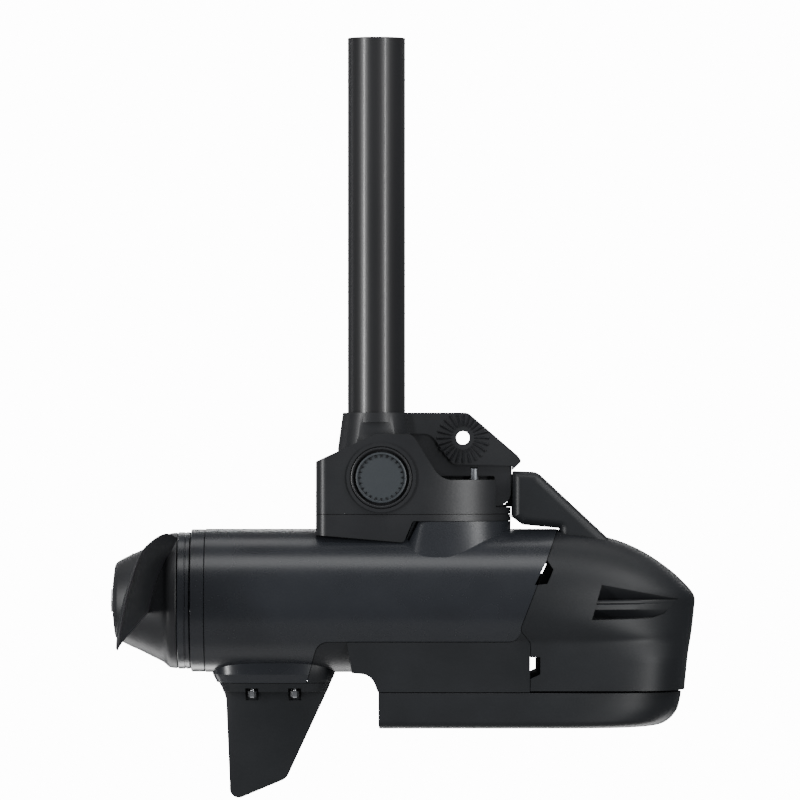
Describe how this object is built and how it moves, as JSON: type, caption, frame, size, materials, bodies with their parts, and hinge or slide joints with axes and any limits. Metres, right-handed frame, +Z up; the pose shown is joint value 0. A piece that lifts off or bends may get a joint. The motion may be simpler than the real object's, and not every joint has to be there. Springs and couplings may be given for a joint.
{
  "type": "trolling motor",
  "caption": "Electric trolling motor lower unit on a round shaft: tilting bracket, torpedo motor with nose and sonar cover, skeg and weedless propeller.",
  "frame": {"origin": "centre of the shaft tube's top end, where the rest of the shaft goes on up to the boat's mount", "axes": "+Z up along the shaft, +X towards the nose, the propeller at -X, the tilt axis along Y"},
  "size_m": [0.3869, 0.2536, 0.5034],
  "materials": {
    "shaft_black": "satin black composite tube, faint lengthwise sheen",
    "cast_black": "satin black powder coat on die casting",
    "motor_black": "satin black paint on aluminium",
    "cover_black": "satin black moulded plastic, fine spark texture",
    "cap_black": "dark grey moulded plastic",
    "blade_black": "satin black glass-filled nylon",
    "stainless": "bright stainless steel",
    "bronze": "plain bearing bronze",
    "core_iron": "stacked electrical steel",
    "copper_winding": "enamelled copper wire",
    "rubber": "black rubber",
    "circuit_board": "green circuit board",
    "sonar_ceramic": "potted ceramic block"
  },
  "bodies": {
    "shaft": {"shaft_tube": "shaft_black", "shaft_lock_pin": "stainless", "power_cable": "rubber", "cable_grommet": "rubber", "upper_bracket": "cast_black", "stop_screw": "core_iron", "pivot_bush_near": "bronze", "pivot_bush_far": "bronze"},
    "lower_unit": {"bracket_housing": "cast_black", "bracket_base": "cast_black", "pivot_pin": "stainless", "pivot_ring_near": "cast_black", "pivot_ring_far": "cast_black", "pivot_cap_near": "cap_black", "pivot_cap_far": "cap_black", "motor_housing": "motor_black", "belly_cover": "cover_black", "nose_cone": "cover_black", "sonar_cover": "cover_black", "sonar_element_rear": "sonar_ceramic", "sonar_element_front": "sonar_ceramic", "skeg": "cover_black", "stator_core": "core_iron", "rear_end_cap": "motor_black", "tail_ring": "motor_black", "shaft_seal": "rubber", "rear_bearing": "stainless", "front_end_bell": "cast_black", "front_bearing": "stainless", "controller_board": "circuit_board", "bracket_screw_1": "stainless", "skeg_screw_1": "stainless", "bracket_screw_2": "stainless", "skeg_screw_2": "stainless", "bracket_screw_3": "stainless", "skeg_screw_3": "stainless", "bracket_screw_4": "stainless", "skeg_screw_4": "stainless", "cover_screw_1": "stainless", "cover_screw_2": "stainless", "cover_screw_3": "stainless", "stator_coil_1": "copper_winding", "stator_coil_2": "copper_winding", "stator_coil_3": "copper_winding", "stator_coil_4": "copper_winding", "stator_coil_5": "copper_winding", "stator_coil_6": "copper_winding"},
    "propeller": {"propeller": "blade_black", "drive_pin": "stainless", "prop_washer": "stainless", "prop_nut": "stainless", "motor_shaft": "stainless", "rotor_core": "core_iron", "rotor_magnet_1": "core_iron", "rotor_magnet_2": "core_iron", "rotor_magnet_3": "core_iron", "rotor_magnet_4": "core_iron"}
  },
  "joints": [
    {"name": "lower_unit_tilt", "type": "hinge", "parent": "shaft", "child": "lower_unit", "pos_m": [0.0032, 0, -0.291], "axis": [0, 1, 0], "range_deg": [0, 45]},
    {"name": "propeller_spin", "type": "hinge", "parent": "lower_unit", "child": "propeller", "pos_m": [-0.15, 0, -0.3727], "axis": [1, 0, 0], "continuous": true}
  ]
}
